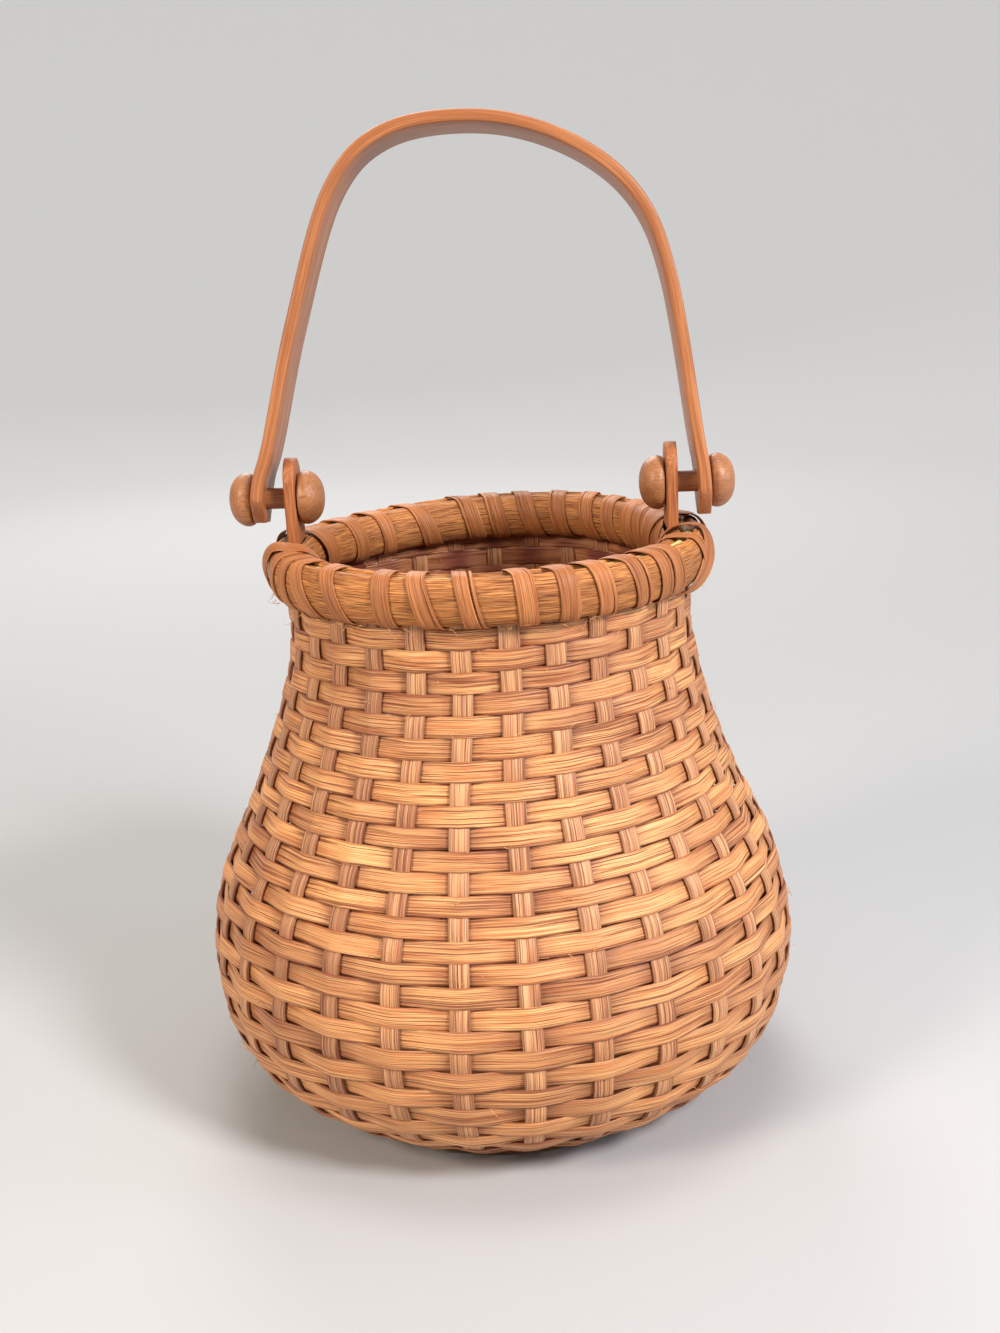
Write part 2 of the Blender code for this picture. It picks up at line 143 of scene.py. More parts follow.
def add_studio():
    """A pale round floor that sweeps up into a wall, with five soft lamps and a pale sky."""
    work = bmesh.new()
    flat_reach, bend, wall_height, bend_steps, segments = 1.4, 0.8, 2.8, 16, 96
    sweep = [(0.02, 0.0), (0.4, 0.0), (flat_reach, 0.0)]
    for step in range(1, bend_steps + 1):
        angle = math.pi / 2 * step / bend_steps
        sweep.append((flat_reach + bend * math.sin(angle), bend - bend * math.cos(angle)))
    sweep.append((flat_reach + bend, wall_height))
    turns = [math.tau * k / segments for k in range(segments)]
    ways = [(math.cos(turn), math.sin(turn)) for turn in turns]
    rows = [[work.verts.new((out * x, out * y, z)) for x, y in ways] for out, z in sweep]
    work.faces.new(rows[0])
    for near, far in zip(rows, rows[1:]):
        for k in range(segments):
            work.faces.new((near[k - 1], far[k - 1], far[k], near[k]))
    mesh = bpy.data.meshes.new("floor_sweep")
    work.to_mesh(mesh)
    work.free()
    mesh.shade_smooth()
    mesh.materials.append(floor_paint_and_glow())
    floor = bpy.data.objects.new("floor_sweep", mesh)
    bpy.context.collection.objects.link(floor)
    # Each lamp has its place, its aim, its size in metres, its power in watts and its colour
    middle, low_middle = (0.0, 0.0, 0.12), (0.0, 0.0, 0.1)
    add_lamp("window_light", (0.7, -0.68, 0.85), middle, 0.3, 16.8, (1.0, 0.965, 0.98))
    add_lamp("lamp_on_the_left", (-0.85, -0.75, 0.8), middle, 0.4, 12.6, (1.0, 0.9, 0.77))
    add_lamp("ceiling_light", (0.05, 0.05, 1.3), low_middle, 0.6, 6.2, (1.0, 0.965, 0.92))
    add_lamp("side_window", (1.1, -0.2, 0.4), low_middle, 0.3, 3.4, (0.6, 0.8, 1.0))
    add_lamp("lamp_behind", (-0.25, 1.15, 0.9), middle, 0.7, 9.0, (1.0, 0.97, 0.94))
    room = bpy.data.worlds.new("room")
    room.use_nodes = True
    sky = room.node_tree.nodes["Background"]
    sky.inputs["Color"].default_value = (1.0, 0.985, 0.965, 1)
    sky.inputs["Strength"].default_value = 0.33
    bpy.context.scene.world = room
    bpy.context.scene.view_settings.view_transform = "Standard"


def floor_paint_and_glow():
    """Pale matt paint with a painted glow that grows away from the basket, seen by the camera and
    in reflections alone.
    """
    paint = bpy.data.materials.new("pale_floor")
    paint.use_nodes = True
    tree = paint.node_tree
    shader = tree.nodes["Principled BSDF"]
    place = node(tree, "TexCoord").outputs["Object"]
    away = node(tree, "VectorMath", {"operation": "LENGTH"}, _0=place).outputs["Value"]
    ray = node(tree, "LightPath").outputs
    seen = maths(tree, "MAXIMUM", ray["Is Camera Ray"], ray["Is Glossy Ray"])
    seen = maths(tree, "MAXIMUM", seen, ray["Is Transmission Ray"])
    # Painted glow: far from the basket the floor and wall shine for the camera and in reflections,
    # as if lit
    far = maths(tree, "MULTIPLY", ramp(tree, away, 0.2, 1.7), seen)
    painted_glow = mixed(tree, far, (0, 0, 0, 1), (0.36, 0.358, 0.352, 1))
    tree.links.new(painted_glow, shader.inputs["Emission Color"])
    shader.inputs["Emission Strength"].default_value = 1.0
    shader.inputs["Base Color"].default_value = (0.428, 0.432, 0.436, 1)
    shader.inputs["Roughness"].default_value = 0.9
    return paint


# Finishes

def new_group(name, inputs, outputs):
    """A shader group with its named sockets, and the nodes for what it is given and puts out."""
    tree = bpy.data.node_groups.new(name, "ShaderNodeTree")
    for label, kind, value in inputs:
        tree.interface.new_socket(label, in_out="INPUT", socket_type=kind).default_value = value
    for label, kind in outputs:
        tree.interface.new_socket(label, in_out="OUTPUT", socket_type=kind)
    return tree, tree.nodes.new("NodeGroupInput"), tree.nodes.new("NodeGroupOutput")


def node(tree, kind, settings=None, **values):
    """A node whose inputs are set or linked by name. An underscore stands for a space."""
    made = tree.nodes.new("ShaderNode" + kind)
    for key, value in (settings or {}).items():
        setattr(made, key, value)
    for key, value in values.items():
        key = int(key[1:]) if key[0] == "_" else key.replace("_", " ")
        if isinstance(value, bpy.types.NodeSocket):
            tree.links.new(value, made.inputs[key])
        else:
            made.inputs[key].default_value = value
    return made


def maths(tree, operation, first, second):
    """One step of arithmetic on numbers."""
    return node(tree, "Math", {"operation": operation}, _0=first, _1=second).outputs[0]


def vector_maths(tree, operation, first, second):
    """One step of arithmetic on places."""
    return node(tree, "VectorMath", {"operation": operation}, _0=first, _1=second).outputs[0]


def noise(tree, place, detail, roughness):
    """Soft random values by place, with a grain of about one unit."""
    made = node(tree, "TexNoise", Vector=place, Scale=1.0, Detail=detail, Roughness=roughness)
    return made.outputs["Fac"]


def mixed(tree, share, first, second):
    """Two colours mixed by a share."""
    made = node(tree, "Mix", {"data_type": "RGBA"})
    for index, value in ((0, share), (6, first), (7, second)):
        if isinstance(value, bpy.types.NodeSocket):
            tree.links.new(value, made.inputs[index])
        else:
            made.inputs[index].default_value = value
    return made.outputs[2]


def ramp(tree, value, low, high):
    """A mask that rises from 0 to 1 between two values."""
    return node(tree, "MapRange", {"interpolation_type": "SMOOTHSTEP"}, Value=value,
                From_Min=low, From_Max=high).outputs["Result"]


def grain_group():
    """Fibres of split reed or wood, laid along the strip by the mesh's own grain lengths."""
    tree, given, put = new_group(
        "fibre_grain",
        [("Fibre Length", "NodeSocketFloat", 0.02), ("Fibre Width", "NodeSocketFloat", 0.0004)],
        [(label, "NodeSocketFloat") for label in ("Streaks", "Splits", "Patches", "Height")],
    )
    length, width = given.outputs["Fibre Length"], given.outputs["Fibre Width"]
    place = node(tree, "Attribute", {"attribute_name": "grain"}).outputs["Vector"]
    size = node(tree, "CombineXYZ", X=length, Y=width, Z=width).outputs[0]
    fine = vector_maths(tree, "DIVIDE", place, size)
    streaks = noise(tree, fine, 3.0, 0.6)
    bands = noise(tree, vector_maths(tree, "MULTIPLY", fine, (0.8, 0.7, 0.7)), 2.0, 0.5)
    splits = ramp(tree, bands, 0.55, 0.66)
    patches = noise(tree, vector_maths(tree, "MULTIPLY", place, (28.0, 160.0, 160.0)), 2.0, 0.5)
    height = maths(tree, "SUBTRACT", streaks, splits)
    for index, value in enumerate((streaks, splits, patches, height)):
        tree.links.new(value, put.inputs[index])
    return tree


def tint_group():
    """Colour of reed or wood from its pale, body and deep shades, by streaks, splits and tone."""
    shades = ("Pale", "Body", "Deep")
    masks = ("Streaks", "Splits", "Patches", "Split Depth", "Tone Reach")
    tree, given, put = new_group(
        "fibre_tint",
        [(label, "NodeSocketColor", (0.5, 0.5, 0.5, 1)) for label in shades]
        + [(label, "NodeSocketFloat", 0.5) for label in masks],
        [("Colour", "NodeSocketColor")],
    )
    tone = node(tree, "Attribute", {"attribute_name": "tone"}).outputs["Fac"]
    streaked = ramp(tree, given.outputs["Streaks"], 0.42, 0.58)
    tint = mixed(tree, streaked, given.outputs["Body"], given.outputs["Pale"])
    aged = ramp(tree, given.outputs["Patches"], 0.42, 0.72)
    for share, reach in ((aged, 0.3), (tone, given.outputs["Tone Reach"]),
                         (given.outputs["Splits"], given.outputs["Split Depth"])):
        tint = mixed(tree, maths(tree, "MULTIPLY", share, reach), tint, given.outputs["Deep"])
    tree.links.new(tint, put.inputs["Colour"])
    return tree


def colour(red, green, blue):
    """A colour written as it shows on a screen, in the linear values that a shader takes."""
    return (*[((c / 255 + 0.055) / 1.055) ** 2.4 for c in (red, green, blue)], 1.0)


def fibre_finish(name, shades, length, width, split_depth, tone_reach, relief, dull,
                 gloss=0.25, coat=0.0):
    """A finish of split reed or wood: shades, size of fibres, depth of tone, relief and sheen."""
    made = bpy.data.materials.new(name)
    made.use_nodes = True
    tree = made.node_tree
    shader = tree.nodes["Principled BSDF"]
    grain = node(tree, "Group", {"node_tree": grain_tree}, Fibre_Length=length, Fibre_Width=width)
    tint = node(tree, "Group", {"node_tree": tint_tree}, Pale=shades[0], Body=shades[1],
                Deep=shades[2], Streaks=grain.outputs["Streaks"], Splits=grain.outputs["Splits"],
                Patches=grain.outputs["Patches"], Split_Depth=split_depth, Tone_Reach=tone_reach)
    tree.links.new(tint.outputs["Colour"], shader.inputs["Base Color"])
    rough = node(tree, "MapRange", Value=grain.outputs["Streaks"], From_Min=0.3, From_Max=0.7,
                 To_Min=dull + 0.08, To_Max=dull - 0.08)
    tree.links.new(rough.outputs["Result"], shader.inputs["Roughness"])
    bump = node(tree, "Bump", Strength=0.9, Distance=relief, Height=grain.outputs["Height"])
    tree.links.new(bump.outputs["Normal"], shader.inputs["Normal"])
    shader.inputs["Specular IOR Level"].default_value = gloss
    shader.inputs["Coat Weight"].default_value = coat
    shader.inputs["Coat Roughness"].default_value = 0.35
    return made


grain_tree = grain_group()
tint_tree = tint_group()

# Each finish has its pale, body and deep shades, then the fibres' length and width, the depth of
# tone in the splits and by each point's tone (which on the reed also holds painted shade), the
# relief's height, dullness, gloss and coat
woven_finish = fibre_finish(
    "woven_reed", (colour(252, 190, 122), colour(206, 124, 67), colour(112, 42, 20)),
    30 * mm, 0.25 * mm, 0.8, 0.42, 0.22 * mm, 0.5, 0.55)
stake_finish = fibre_finish(
    "stake_reed", (colour(232, 176, 124), colour(184, 114, 72), colour(102, 43, 24)),
    40 * mm, 0.22 * mm, 0.75, 0.4, 0.22 * mm, 0.52, 0.5)
hoop_finish = fibre_finish(
    "hoop_reed", (colour(214, 145, 80), colour(154, 88, 43), colour(76, 31, 14)),
    10 * mm, 0.24 * mm, 0.65, 0.2, 0.22 * mm, 0.6, 0.3)
lashing_finish = fibre_finish(
    "lashing_reed", (colour(200, 131, 76), colour(166, 96, 50), colour(92, 40, 19)),
    20 * mm, 0.22 * mm, 0.38, 0.3, 0.15 * mm, 0.54, 0.35)
filler_finish = fibre_finish(
    "filler_reed", (colour(222, 200, 140), colour(196, 168, 104), colour(130, 96, 52)),
    14 * mm, 0.4 * mm, 0.6, 0.3, 0.12 * mm, 0.7)
handle_finish = fibre_finish(
    "handle_wood", (colour(183, 119, 74), colour(158, 95, 54), colour(116, 60, 33)),
    30 * mm, 0.4 * mm, 0.25, 0.3, 0.04 * mm, 0.42, 0.3, 0.08)
ear_finish = fibre_finish(
    "ear_wood", (colour(184, 117, 69), colour(157, 88, 48), colour(106, 50, 26)),
    14 * mm, 0.35 * mm, 0.5, 0.3, 0.05 * mm, 0.5, 0.35)
knob_finish = fibre_finish(
    "knob_wood", (colour(183, 126, 80), colour(158, 99, 59), colour(110, 57, 31)),
    9 * mm, 0.3 * mm, 0.45, 0.3, 0.04 * mm, 0.45, 0.4, 0.08)
base_finish = fibre_finish(
    "base_wood", (colour(178, 112, 64), colour(152, 88, 46), colour(98, 50, 24)),
    40 * mm, 0.8 * mm, 0.4, 0.3, 0.05 * mm, 0.45, 0.35, 0.1)


# Lines and meshes

def wander(along, cell, size, seed, period=4096):
    """Smooth seeded ups and downs along a line, with one knot to a cell."""
    knots = np.random.default_rng(seed).uniform(-size, size, period)
    place = np.asarray(along) / cell
    low = np.floor(place).astype(int)
    part = place - low
    part = part * part * (3 - 2 * part)
    return knots[low % period] * (1 - part) + knots[(low + 1) % period] * part


def ridges(along, count, cell, size, seed, period=4096):
    """Fibres in relief: each place round a section has ups and downs of its own along the strip."""
    apart = 0.37 * cell
    lines = [wander(along + k * apart, cell, size, seed + 101 * k, period) for k in range(count)]
    return np.stack(lines, 1)


def unit(vectors):
    """The same directions with a length of one."""
    return vectors / np.maximum(np.linalg.norm(vectors, axis=-1, keepdims=True), 1e-12)


def running_length(points):
    """How far along a line each of its points lies."""
    return np.concatenate([[0.0], np.cumsum(np.linalg.norm(np.diff(points, axis=0), axis=1))])


def stacked(*parts):
    """Coordinates of fitting shapes put together, as points or as grain lengths."""
    return np.stack(np.broadcast_arrays(*parts), -1)


def point_at(place, lengths, line):
    """The (radius, height) of a line at a running length."""
    return stacked(*[np.interp(place, lengths, line[:, i]) for i in range(2)])


def smooth_curve(points, steps):
    """A Catmull-Rom curve through the points, with this many steps to a span."""
    points = [np.array(point, float) for point in points]
    knots = [2 * points[0] - points[1], *points, 2 * points[-1] - points[-2]]
    made = []
    for a, b, c, d in zip(knots, knots[1:], knots[2:], knots[3:]):
        for step in range(steps):
            t = step / steps
            square = (2 * a - 5 * b + 4 * c - d) * t**2
            cube = (3 * b - a - 3 * c + d) * t**3
            made.append(b + ((c - a) * t + square + cube) / 2)
    made.append(points[-1])
    return np.array(made)


def make_piece(name, strips, finish, body, stands_for=(), sharp=50):
    """One mesh of closed strips: each is (rings, grain, tone, whether it runs back into itself)."""
    verts, grains, tones, quads, caps, start = [], [], [], [], [], 0
    for rings, grain, tone, closed in strips:
        n, m = rings.shape[:2]
        index = start + np.arange(n * m).reshape(n, m)
        first, second = (index, np.roll(index, -1, 0)) if closed else (index[:-1], index[1:])
        faces = np.stack([first, np.roll(first, -1, 1), np.roll(second, -1, 1), second], -1)
        faces = faces.reshape(-1, 4)
        middle = rings.reshape(-1, 3).mean(0)
        flat = (rings.reshape(-1, 3) - middle)[faces - start]
        turned = np.cross(flat[:, 1] - flat[:, 0], flat[:, 2] - flat[:, 0])
        inside_out = np.einsum("ij,ij->i", flat[:, 0], turned).sum() < 0
        quads.append(faces[:, ::-1] if inside_out else faces)
        if not closed:
            ends = [index[0][::-1], index[-1]]
            caps += [end[::-1] if inside_out else end for end in ends]
        verts.append(rings.reshape(-1, 3))
        grains.append(np.broadcast_to(grain, rings.shape).reshape(-1, 3))
        tones.append(np.broadcast_to(tone[:, None] if tone.ndim == 1 else tone, (n, m)).reshape(-1))
        start += n * m
    verts, quads = np.concatenate(verts), np.concatenate(quads)
    mesh = bpy.data.meshes.new(name)
    sizes = np.concatenate([np.full(len(quads), 4), np.array([len(c) for c in caps], int)])
    corners = np.concatenate([quads.reshape(-1), *caps]).astype(np.int32)
    mesh.vertices.add(len(verts))
    mesh.vertices.foreach_set("co", verts.astype(np.float32).ravel())
    mesh.loops.add(len(corners))
    mesh.loops.foreach_set("vertex_index", corners)
    mesh.polygons.add(len(sizes))
    starts = np.concatenate([[0], np.cumsum(sizes)[:-1]]).astype(np.int32)
    mesh.polygons.foreach_set("loop_start", starts)
    mesh.update(calc_edges=True)
    mesh.validate()
    mark(mesh, np.concatenate(grains), np.concatenate(tones))
    return finish_piece(name, mesh, finish, body, stands_for, sharp)


def mark(mesh, grain, tone):
    """Writes what the finishes read of each point: its grain lengths and its tone.

    The lengths run along the strip, across it and through it. Tone goes from pale (0) to deep (1).
    """
    lengths = mesh.attributes.new("grain", "FLOAT_VECTOR", "POINT")
    lengths.data.foreach_set("vector", grain.astype(np.float32).ravel())
    tones = mesh.attributes.new("tone", "FLOAT", "POINT")
    tones.data.foreach_set("value", tone.astype(np.float32))


def finish_piece(name, mesh, finish, body, stands_for, sharp):
    """Hangs a mesh on its body with its finish, and lets it stand for its nodes."""
    mesh.materials.append(finish)
    mesh.shade_smooth()
    mesh.set_sharp_from_angle(angle=math.radians(sharp))
    made = bpy.data.objects.new(name, mesh)
    bpy.context.collection.objects.link(made)
    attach(made, body)
    if stands_for:
        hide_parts(*stands_for)
    return made


# Section of flat reed, as shares of its width and of its thickness: a flat oval with thin edges
reed_across = np.array([-0.5, -0.46, -0.36, -0.2, 0.0, 0.2, 0.36, 0.46,
                        0.5, 0.46, 0.36, 0.2, 0.0, -0.2, -0.36, -0.46])
reed_lift = np.array([0, 0.36, 0.46, 0.49, 0.5, 0.49, 0.46, 0.36,
                      0, -0.36, -0.46, -0.49, -0.5, -0.49, -0.46, -0.36])
reed_points = len(reed_across)

# The points that lie on the reed's faces, where its fibres stand up
reed_faces = np.abs(reed_across) < 0.49

# Deeper tone of the reed's edges and of its inner side: partly the reed's own wear and unbleached
# inner face, partly painted shade in the creases between rows and on the shaded inside of the
# basket
reed_wear_and_shade = np.where(reed_lift < -0.2, 0.8, np.where(np.abs(reed_across) > 0.4, 0.9, 0.0))


def around(flat, turn):
    """(radius, height) pairs turned about the axis, with the neck and rim a little out of true."""
    radius, height = flat[..., 0], flat[..., 1]
    turn = np.broadcast_to(turn, radius.shape)
    share = np.clip((height - neck_foot) / neck_reach, 0, 1)
    share = share * share * (3 - 2 * share)
    rise = np.interp(np.degrees(turn), rise_turns, np.array(rim_rises) * mm, period=360)
    x, y = radius * np.cos(turn) + rim_shift * share, radius * np.sin(turn)
    return stacked(x, y, height + rise * share)


# Wall of the basket

def wall_outline():
    """The middle of the wall as (radius, height), from the stakes' feet to their tops."""
    points = [(foot_radius, foot_height), (base_radius, foot_height)]
    points.append((base_radius + 3.4 * mm, foot_height + 1 * mm))
    below = ((0.318, 0.050), (0.585, 0.083), (0.818, 0.135), (0.964, 0.212), (1.0, 0.305))
    above = ((0.860, 0.434), (0.503, 0.575), (0.200, 0.719), (0.045, 0.826))
    for end_radius, shares in ((base_radius, below), (rim_radius, above)):
        for share, height_share in shares:
            radius = end_radius + share * (belly_radius - end_radius)
            points.append((radius, height_share * rim_height))
    points += [(rim_radius, rim_height - 20 * mm), (rim_radius, rim_height), (rim_radius, wall_top)]
    return smooth_curve(points, 40)


outline = wall_outline()
outline_arc = running_length(outline)
outline_slope = unit(np.gradient(outline, outline_arc, axis=0))
wall_length = outline_arc[-1]
highest_edge = wall_length - (wall_top - weave_top)
first_row = lowest_edge + tip_width - reed_width / 2
last_row = highest_edge - tip_width + reed_width / 2


def on_wall(arc, lift):
    """(radius, height) at this length up the wall, lifted off its middle."""
    slope = unit(point_at(arc, outline_arc, outline_slope))
    out = stacked(slope[..., 1], -slope[..., 0])
    return point_at(arc, outline_arc, outline) + out * np.asarray(lift)[..., None]


def add_weave():
    """The flat reed that spirals up through the stakes, over one and under one, in spliced lengths.

    s counts the stakes passed since the reed's first end.
    """
    lengths, bay_steps, splice_gap = 8, 15, 0.02
    pairs = int((last_row - first_row) / row_pitch * stake_count / 2)
    for number in range(lengths):
        first, last = 2 * (pairs * number // lengths), 2 * (pairs * (number + 1) // lengths)
        s = np.linspace(first + splice_gap, last - splice_gap, (last - first) * bay_steps + 1)
        row = first_row + row_pitch * s / stake_count + wander(s, 1.1, 0.12 * mm, 11)
        wider_between = 1 + 0.018 * (1 - np.cos(math.tau * s)) / 2
        width = reed_width * (1.085 + wander(s, 1.7, 0.035, 12)) * wider_between
        wider_low = 0.07 * np.exp(-row / (26 * mm))
        narrower_high = 0.065 * np.exp(-((row - 108 * mm) / (44 * mm)) ** 2)
        width = width * (1 + wider_low - narrower_high)
        low = np.maximum(row - width / 2, lowest_edge)
        high = np.minimum(row + width / 2, highest_edge)
        width = high - low
        beat = -np.cos(math.pi * s)
        reach = float_height - stake_give + wander(s, 2.3, 0.14 * mm, 13)
        lift = np.sign(beat) * np.abs(beat) ** 0.9 * reach
        cant = wander(s, 1.3, 0.055, 14)
        along = s * bay_turn * middling_radius
        relief = ridges(along, reed_points, 7 * mm, 0.07 * mm, 15) * reed_faces
        arcs = ((low + high) / 2)[:, None] + reed_across * width[:, None]
        lifts = lift[:, None] + reed_lift * reed_thickness + relief
        lifts = lifts + reed_across * (width * cant)[:, None]
        flat = on_wall(arcs, lifts)
        off_middle = (s % 1 - 0.5) * bay_turn
        flat[..., 0] *= (math.cos(bay_turn / 2) / np.cos(off_middle))[:, None]
        turn = first_stake_turn + (s + first_woven_stake) * bay_turn
        rings = around(flat, turn[:, None])
        straying = wander(s, 2.1, 0.2 * mm, 16)[:, None]
        grain = stacked(along[:, None], reed_across * reed_width + straying,
                        reed_lift * reed_thickness)
        # Painted shade: deeper tone where the strip dips in behind a stake
        painted_shade_behind_stakes = 0.8 * np.clip(-beat - 0.1, 0, 1)
        tone = np.clip(0.5 + wander(s, 1.9, 0.6, 17) + wander(s, 60, 0.25, 18), 0, 1) + painted_shade_behind_stakes
        # The reed's own wear plus painted shade on its edges and inner side
        tone = tone[:, None] + reed_wear_and_shade
        make_piece(f"woven_reed_{number + 1}", [(rings, grain, tone, False)], woven_finish,
                   "basket", [f"weaver_{number + 1}"])


def add_stakes():
    """Flat reed stakes from the base's groove to the rim, pushed in and out by the rows."""
    arc = np.linspace(0, wall_length, 260)
    woven = np.clip((arc - first_row) / (4 * mm), 0, 1) * np.clip((last_row - arc) / (4 * mm), 0, 1)
    for number in range(stake_count):
        seed = 1000 + 40 * number
        width = stake_width * (1 + wander(arc, 30 * mm, 0.04, seed))
        sway = wander(arc, 28 * mm, 0.35 * mm, seed + 1) * np.minimum(1, arc / (12 * mm))
        relief = ridges(arc, reed_points, 16 * mm, 0.05 * mm, seed + 2) * reed_faces
        rows = (arc - first_row) / row_pitch + (number - first_woven_stake) * (1 - 1 / stake_count)
        pushed = stake_give * woven * np.cos(math.pi * rows)
        lifts = pushed[:, None] + reed_lift * stake_thickness + relief
        flat = on_wall(np.broadcast_to(arc[:, None], lifts.shape), lifts)
        turn = first_stake_turn + number * bay_turn
        side = np.array([-math.sin(turn), math.cos(turn), 0.0])
        reach = reed_across * width[:, None] + sway[:, None]
        rings = around(flat, turn) + reach[..., None] * side
        grain = stacked(arc[:, None] + number, reed_across * stake_width + 0.05 * number,
                        reed_lift * stake_thickness)
        # Random tone of each stake, plus the reed's wear and painted shade on its edges and inner
        # side
        tone = np.random.default_rng(seed + 3).uniform(0.0, 0.9) + np.tile(reed_wear_and_shade, (len(arc), 1))
        make_piece(f"stake_reed_{number + 1:02d}", [(rings, grain, tone, False)], stake_finish,
                   "basket", [f"stake_{number + 1:02d}"])


# Rim

curved_points, flat_points = 40, 4


def hoop_section(face, depth, way):
    """Half an oval with its flat against the stakes and its corners there cut back to a groove."""
    angles = np.linspace(-math.pi / 2, math.pi / 2, curved_points)
    curved = stacked(face + way * (hoop_corner + (depth - hoop_corner) * np.cos(angles)),
                     rim_height + hoop_half_height * np.sin(angles))
    low, high = hoop_bottom + hoop_corner, hoop_top - hoop_corner
    flat = [(face, z) for z in np.linspace(high, low, flat_points)]
    return np.concatenate([curved, flat])


def add_hoop(name, section, node_name, ear_notch=False):
    """A half-round reed hoop with coarse fibres that run along it."""
    count, steps, cells = len(section), 840, 56
    turn = np.arange(steps) / steps * math.tau
    along = turn * rim_radius
    cell = math.tau * rim_radius / cells
    swell = wander(along, cell * 4, 0.2 * mm, 350, cells // 4)[:, None]
    relief = ridges(along, count, cell, 0.12 * mm, 300, cells) + swell
    fine = ridges(along, count, cell / 4, 0.07 * mm, 400, cells * 4)
    curved = np.arange(count) < count - flat_points
    middle = section.mean(0)
    ways = unit(section - middle)
    flat = section[None] + ways[None] * ((relief + fine) * curved)[..., None]
    if ear_notch:
        notch_half_width, ear_gap, beside_ear = 8.4 * mm, 0.3 * mm, 0.7
        y = np.abs(flat[..., 0] * np.sin(turn)[:, None])
        sideways = np.abs(np.cos(turn))
        back = (sideways > beside_ear)[:, None] & (y < notch_half_width)
        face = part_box("right_ear")[0].x - ear_gap - rim_shift * np.sign(np.cos(turn))
        deepest = (face / np.maximum(sideways, beside_ear))[:, None]
        flat[..., 0] = np.where(back, np.minimum(flat[..., 0], deepest), flat[..., 0])
    rings = around(flat, turn[:, None])
    grain = stacked(along[:, None], running_length(section), 0.0)
    tone = np.clip(0.5 + ridges(along, count, cell, 0.5, 500, cells), 0, 1)
    make_piece(name, [(rings, grain, tone, True)], hoop_finish, "basket", [node_name])


def add_rim_filler():
    """The pale reed that lies in the groove between the hoops."""
    steps, count, thickness = 480, 14, 3.4 * mm
    turn = np.arange(steps) / steps * math.tau
    angles = np.arange(count) / count * math.tau
    along = turn * rim_radius
    round_rim = math.tau * rim_radius
    radius = thickness / 2 + ridges(along, count, round_rim / 60, 0.15 * mm, 600, 60)
    centre = hoop_top - 2.4 * mm + wander(along, round_rim / 40, 0.25 * mm, 650, 40)
    flat = stacked(rim_radius + radius * np.cos(angles), centre[:, None] + radius * np.sin(angles))
    grain = stacked(along[:, None], angles * 1.75 * mm, 0.0)
    tone = np.clip(plain_tone + wander(along, round_rim / 50, 0.5, 660, 50), 0, 1)
    make_piece("filler_reed", [(around(flat, turn[:, None]), grain, tone, True)], filler_finish,
               "basket", ["rim_filler"])


def rim_hull(clear):
    """The line round both hoops that a tight lashing follows: from below them outward and over."""
    low, high = hoop_bottom - clear, hoop_top + clear
    outer, inner = outer_face + hoop_corner, inner_face - hoop_corner
    points = [(rim_radius, low), (outer, low)]
    for angle in np.linspace(-math.pi / 2, math.pi / 2, 25)[1:-1]:
        points.append((outer + (outer_depth - hoop_corner + clear) * math.cos(angle),
                       rim_height + (hoop_half_height + clear) * math.sin(angle)))
    for share in np.linspace(1, -1, 9):
        points.append((rim_radius + share * (outer - rim_radius), high + 0.2 * mm * (1 - share**2)))
    for angle in np.linspace(math.pi / 2, -math.pi / 2, 25)[1:-1]:
        points.append((inner - (inner_depth - hoop_corner + clear) * math.cos(angle),
                       rim_height + (hoop_half_height + clear) * math.sin(angle)))
    points += [(inner, low), (rim_radius, low)]
    return np.array(points)


def lashing_strand(loops, turns, clear, offset, width, thickness, seed, slack=0.0, twist=0.0):
    """A strand wound on the rim, with its turn, slack and twist at the given counts of loops."""
    hull = rim_hull(clear)
    arc = running_length(hull)
    loop_steps, near = 56, 0.3 * mm
    q = np.linspace(loops[0], loops[-1], int((loops[-1] - loops[0]) * loop_steps) + 2)
    place = (q % 1) * arc[-1]
    flat = point_at(place, arc, hull)
    way = unit(point_at((place + near) % arc[-1], arc, hull)
               - point_at((place - near) % arc[-1], arc, hull))
    out_flat = stacked(way[:, 1], -way[:, 0])
    turn = np.interp(q, loops, turns)
    along = q * arc[-1]
    lift = wander(along, 6 * mm, 0.1 * mm, seed) + 0.08 * mm
    lift = lift + np.interp(q, loops, np.zeros(len(loops)) + slack)
    centre = around(flat + out_flat * lift[:, None], turn)
    tangent = unit(np.gradient(centre, axis=0))
    out = around(out_flat, turn)
    across = unit(np.cross(tangent, out))
    out = np.cross(across, tangent)
    twisted = np.interp(q, loops, np.zeros(len(loops)) + twist)[:, None]
    ahead_part, side_part = np.cos(twisted), np.sin(twisted)
    across, out = ahead_part * across + side_part * out, ahead_part * out - side_part * across
    widths = width * (1 + wander(along, 17 * mm, 0.1, seed + 1))
    shift = offset + wander(along, 15 * mm, 0.28 * mm, seed + 2)
    cant = wander(along, 13 * mm, 0.07, seed + 3)
    relief = ridges(along, reed_points, 9 * mm, 0.025 * mm, seed + 4)
    reach = reed_across * widths[:, None] + shift[:, None]
    lifts = reed_lift * thickness + relief + reed_across * (widths * cant)[:, None]
    rings = centre[:, None] + reach[..., None] * across[:, None] + lifts[..., None] * out[:, None]
    grain = stacked(along[:, None] + seed, reed_across * width + 0.01 * seed, reed_lift * thickness)
    tone = np.clip(0.45 + wander(along, 24 * mm, 0.5, seed + 5), 0, 1)
    return rings, grain, tone, False


